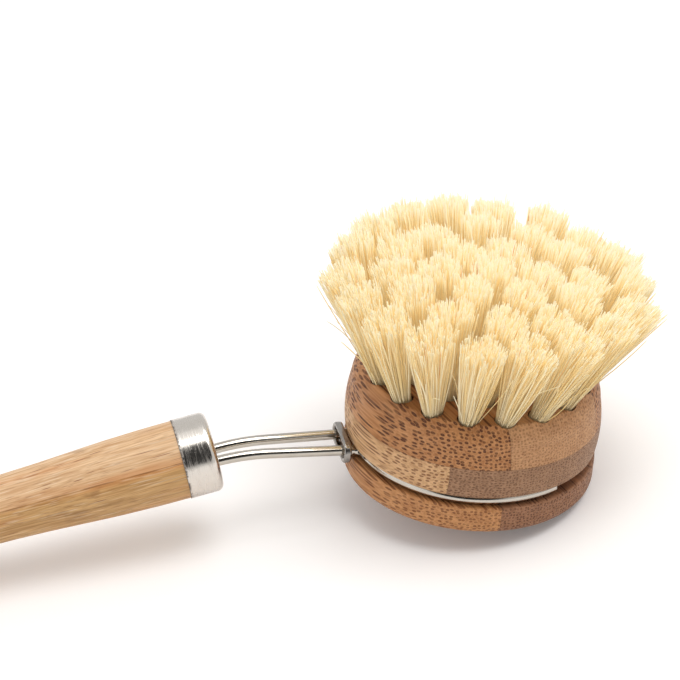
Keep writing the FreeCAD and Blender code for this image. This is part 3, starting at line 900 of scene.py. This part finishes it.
@dataclass
class Head:
    """The round bamboo block with its tufts and their anchors. Lengths in millimetres, angles in degrees."""

    grain_turn: float = -73.0
    base_top: float = 7.2
    middle_top: float = 14.7
    block_top: float = 22.8
    base_seam: float = 7.3
    middle_seam: float = 16.6
    top_seam: float = 6.8

    def place(self) -> Matrix:
        """Finds the head from its joint.

        Returns:
            The place of the head's frame, with Z up through the bristles.
        """
        joint = JOINTS["head_turn"]
        axis = Vector(joint["axis"])
        turn = Matrix.Rotation(math.atan2(axis.x, axis.z), 4, "Y")
        return Matrix.Translation(joint["pos_m"]) @ turn

    def grain(self) -> OwnAxes:
        """Lays the bamboo's axes in the block.

        Returns:
            The axes, with Z along the grain and Y up through the plies.
        """
        place = self.place()
        across = Matrix.Rotation(math.radians(self.grain_turn + 90), 3, "Z")
        upright = Matrix.Rotation(math.radians(90), 3, "X")
        return OwnAxes(place.translation, place.to_3x3() @ (across @ upright))

    def strips(self) -> Iterable[Strip]:
        """Goes through the plies from the bottom up.

        Yields:
            Every strip with its finish.
        """
        brown = BambooFinish(
            srgb(204, 146, 94), srgb(156, 98, 54), srgb(76, 36, 16),
            spacing=0.8, speck_radius=0.39, speck_strength=0.95,
        )
        pale_brown = BambooFinish(
            srgb(208, 158, 112), srgb(174, 124, 82), srgb(132, 86, 54),
            spacing=0.62, speck_radius=0.38, speck_strength=0.6,
        )
        blond = BambooFinish(
            srgb(228, 184, 136), srgb(186, 138, 92), srgb(120, 70, 36),
            spacing=0.8, speck_radius=0.37, speck_strength=0.85,
        )
        grey_brown = BambooFinish(
            srgb(176, 134, 100), srgb(136, 98, 70), srgb(94, 60, 40),
            spacing=0.62, speck_radius=0.38, speck_strength=0.7,
        )
        orange = BambooFinish(
            srgb(210, 152, 98), srgb(166, 108, 62), srgb(108, 58, 30),
            spacing=0.78, speck_radius=0.38, speck_strength=0.8,
        )
        russet = BambooFinish(
            srgb(172, 122, 88), srgb(128, 86, 58), srgb(80, 44, 26),
            spacing=0.66, speck_radius=0.38, speck_strength=0.8,
        )
        layers = {
            Ply("base", 0.0, self.base_top, self.base_seam): (orange, russet, russet),
            Ply("middle", self.base_top, self.middle_top, self.middle_seam): (blond, grey_brown, grey_brown),
            Ply("top", self.middle_top, self.block_top, self.top_seam): (brown, pale_brown, brown),
        }
        for ply, finishes in layers.items():
            for lane, finish in zip(Lane, finishes):
                yield Strip(ply, lane, finish)

    def build(self) -> None:
        """Dresses the block and builds its tufts."""
        grain = self.grain()
        for strip in self.strips():
            dress(strip.node, strip.finish.material(f"bamboo_{strip.node}", grain, strip))
        staple = SteelFinish(
            srgb(196, 194, 190), srgb(170, 168, 164),
            roughness=0.35, line_scales=(6.0, 0.5, 0.5), line_depth=0.01,
        )
        dress("tuft_anchors", staple.material("anchor_steel", grain))
        for tuft in Tufts().build(self.place(), FibreFinish().material("plant_fibre")):
            log.info("%s: %d faces", tuft.name, len(tuft.data.polygons))


@dataclass
class Handle:
    """The turned handle of two plies, with its ferrule. Lengths in millimetres, angles in degrees."""

    bail_bend: float = 14.4
    glue_turn: float = 30.0
    ferrule_length: float = 6.6

    def axes(self) -> OwnAxes:
        """Finds the handle from its ferrule and the legs' direction.

        Returns:
            The axes, with Z from the ferrule's front to the butt and Y square to the glue line.
        """
        legs = Vector(JOINTS["clip_slide"]["axis"])
        along = Matrix.Rotation(math.radians(-self.bail_bend), 3, "Y") @ legs
        low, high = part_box("ferrule")
        front = (low + high) / 2 - along * (self.ferrule_length * MILLIMETRE / 2)
        side = Vector((0.0, 1.0, 0.0))
        turn = Matrix((side, along.cross(side), along)).transposed()
        return OwnAxes(front, turn @ Matrix.Rotation(math.radians(self.glue_turn), 3, "Z"))

    def build(self) -> None:
        """Dresses the plies and the ferrule."""
        axes = self.axes()
        upper = HandleWoodFinish(srgb(238, 201, 158), srgb(196, 149, 102))
        lower = HandleWoodFinish(srgb(219, 175, 117), srgb(172, 127, 74))
        dress("handle_upper_ply", upper.material("handle_wood_upper", axes))
        dress("handle_lower_ply", lower.material("handle_wood_lower", axes))
        polished = SteelFinish(
            srgb(234, 228, 220), srgb(210, 202, 192),
            roughness=0.16, line_scales=(0.3, 0.3, 5.0), line_depth=0.003, line_roughness=0.14,
            marks=Marks.REAR_RIM, rim_place=self.ferrule_length,
        )
        dress("ferrule", polished.material("ferrule_steel", axes))


@dataclass
class Bail:
    """The sprung wire that holds the head, and the clip that locks it."""

    def axes(self) -> OwnAxes:
        """Finds the straight run of the legs from the clip.

        Returns:
            The axes, with Z along the legs.
        """
        along = -Vector(JOINTS["clip_slide"]["axis"])
        side = Vector((0.0, 1.0, 0.0))
        low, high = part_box("locking_clip")
        return OwnAxes((low + high) / 2, Matrix((side, along.cross(side), along)).transposed())

    def build(self) -> None:
        """Dresses the wire and the clip."""
        axes = self.axes()
        drawn = SteelFinish(
            srgb(214, 208, 198), srgb(186, 178, 166),
            roughness=0.11, line_scales=(5.0, 5.0, 0.3), line_depth=0.002,
        )
        wire = drawn.material("wire_steel", axes)
        for node in ("left_bail_leg", "right_bail_leg", "bail_tang"):
            dress(node, wire)
        pressed = SteelFinish(
            srgb(186, 181, 175), srgb(128, 123, 118),
            roughness=0.14, line_scales=(0.8, 0.8, 3.0), line_depth=0.004,
        )
        dress("locking_clip", pressed.material("clip_steel", axes))


@dataclass
class Studio:
    """The table, the light and the camera.

    Lengths in metres, the sensor in millimetres, the focal length and the picture's width in pixels,
    angles in degrees.
    """

    table_size: float = 6.0
    eye: tuple[float, float, float] = (-0.016939, -0.468290, 0.340556)
    target: tuple[float, float, float] = (0.072775, 0.058942, 0.0)
    roll: float = -6.198
    focal_pixels: int = 3000
    picture_pixels: int = 680
    sensor: float = 36.0
    near_clip: float = 0.01
    key_place: tuple[float, float, float] = (0.3, -0.17, 0.87)
    key_aim: tuple[float, float, float] = (0.05, 0.0, 0.0)
    key_size: float = 0.55
    key_power: float = 4.1
    sky: float = 0.72
    side_fill: float = 0.45
    side_span: tuple[float, float] = (0.3, 0.9)
    top_fill: float = 0.4
    top_span: tuple[float, float] = (0.9, 0.97)
    dark_share: float = 0.05
    dark_span: tuple[float, float] = (0.83, 0.9)
    dark_middle: tuple[float, float, float] = (0.05, 0.0, 0.02)

    def build(self) -> None:
        """Sets up the table, the light and the camera."""
        self._table()
        self._key()
        self._sky()
        self._camera()
        bpy.context.scene.view_settings.view_transform = "Standard"

    def _table(self) -> None:
        """Lays the table."""
        bpy.ops.object.select_all(action="DESELECT")
        bpy.ops.mesh.primitive_plane_add(size=self.table_size, location=(0.0, 0.0, 0.0))
        table = bpy.context.object
        table.name = "table"
        table.data.materials.append(FloorFinish().material("table"))

    def _key(self) -> None:
        """Hangs one soft lamp above the brush, beyond the head and a little towards the camera."""
        lamp = bpy.data.lights.new("key", "AREA")
        lamp.size = self.key_size
        lamp.energy = self.key_power
        key = bpy.data.objects.new("key", lamp)
        key.location = self.key_place
        key.rotation_mode = "QUATERNION"
        key.rotation_quaternion = (Vector(self.key_aim) - key.location).to_track_quat("-Z", "Y")
        bpy.context.scene.collection.objects.link(key)

    def _sky(self) -> None:
        """Surrounds the brush with white, dim where the camera stands, bright overhead and past the butt."""
        world = bpy.data.worlds.new("studio")
        bpy.context.scene.world = world
        shader = Shader(world)
        way = shader.node("ShaderNodeTexCoord", output="Generated")
        front = (Vector(self.eye) - Vector(self.dark_middle)).normalized()
        facing = shader.node(
            "ShaderNodeVectorMath", {"operation": "DOT_PRODUCT"}, {0: way, 1: front}, output="Value"
        )
        path = shader.node("ShaderNodeLightPath", output="Is Camera Ray")
        side = shader.node("ShaderNodeSeparateXYZ", None, {0: way})
        height = side.output("Z")
        fill = (0.0 - side).rise(*self.side_span) * self.side_fill
        fill = fill + height.rise(*self.top_span) * self.top_fill + 1
        strength = (1 - facing.rise(*self.dark_span) * (1 - self.dark_share)) * fill * self.sky
        shown = path.at_least(strength)
        light = shader.node("ShaderNodeBackground", None, {"Color": WHITE, "Strength": shown})
        shader.node("ShaderNodeOutputWorld", None, {"Surface": light})

    def _camera(self) -> None:
        """Sets the camera where the photograph was taken from."""
        lens = bpy.data.cameras.new("camera")
        lens.sensor_width = self.sensor
        lens.lens = self.sensor * (self.focal_pixels / self.picture_pixels)
        lens.clip_start = self.near_clip
        camera = bpy.data.objects.new("camera", lens)
        camera.location = self.eye
        camera.rotation_mode = "QUATERNION"
        look = (Vector(self.target) - Vector(self.eye)).to_track_quat("-Z", "Y")
        camera.rotation_quaternion = look @ Quaternion((0.0, 0.0, 1.0), math.radians(self.roll))
        bpy.context.scene.collection.objects.link(camera)
        bpy.context.scene.camera = camera


def main() -> None:
    """Builds the brush and the studio."""
    logging.basicConfig(level=logging.INFO, format="%(name)s %(message)s")
    Head().build()
    Bail().build()
    Handle().build()
    Studio().build()


if __name__ == "__main__":
    main()
